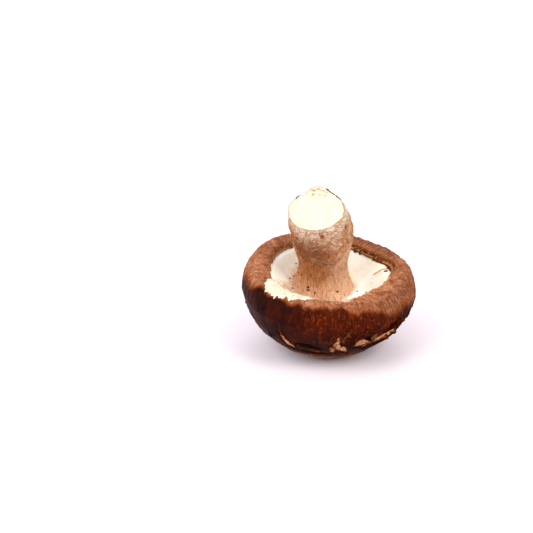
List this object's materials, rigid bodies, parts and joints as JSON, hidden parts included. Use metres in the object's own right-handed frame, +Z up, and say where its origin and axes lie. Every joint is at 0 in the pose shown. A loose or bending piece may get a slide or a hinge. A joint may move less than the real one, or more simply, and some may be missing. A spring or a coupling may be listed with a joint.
{
  "type": "shiitake mushroom",
  "caption": "Fresh shiitake mushroom resting on its cap with the stem up: domed brown cap with a rolled-in margin, pale gills and a trimmed, bent stem.",
  "frame": {"origin": "centre of the small flat on the cap's crown, where the mushroom rests", "axes": "+Z up, towards the stem's cut end; the cap's axis leans about 6 degrees; -Y is the side where the margin is lowest"},
  "size_m": [0.0615, 0.0601, 0.0556],
  "materials": {
    "cap_skin": "satin",
    "gill_tissue": "matte",
    "stem_flesh": "matte",
    "growing_medium": "matte"
  },
  "bodies": {
    "root": {"cap": "cap_skin", "gills": "gill_tissue", "stem": "stem_flesh"}
  },
  "joints": []
}
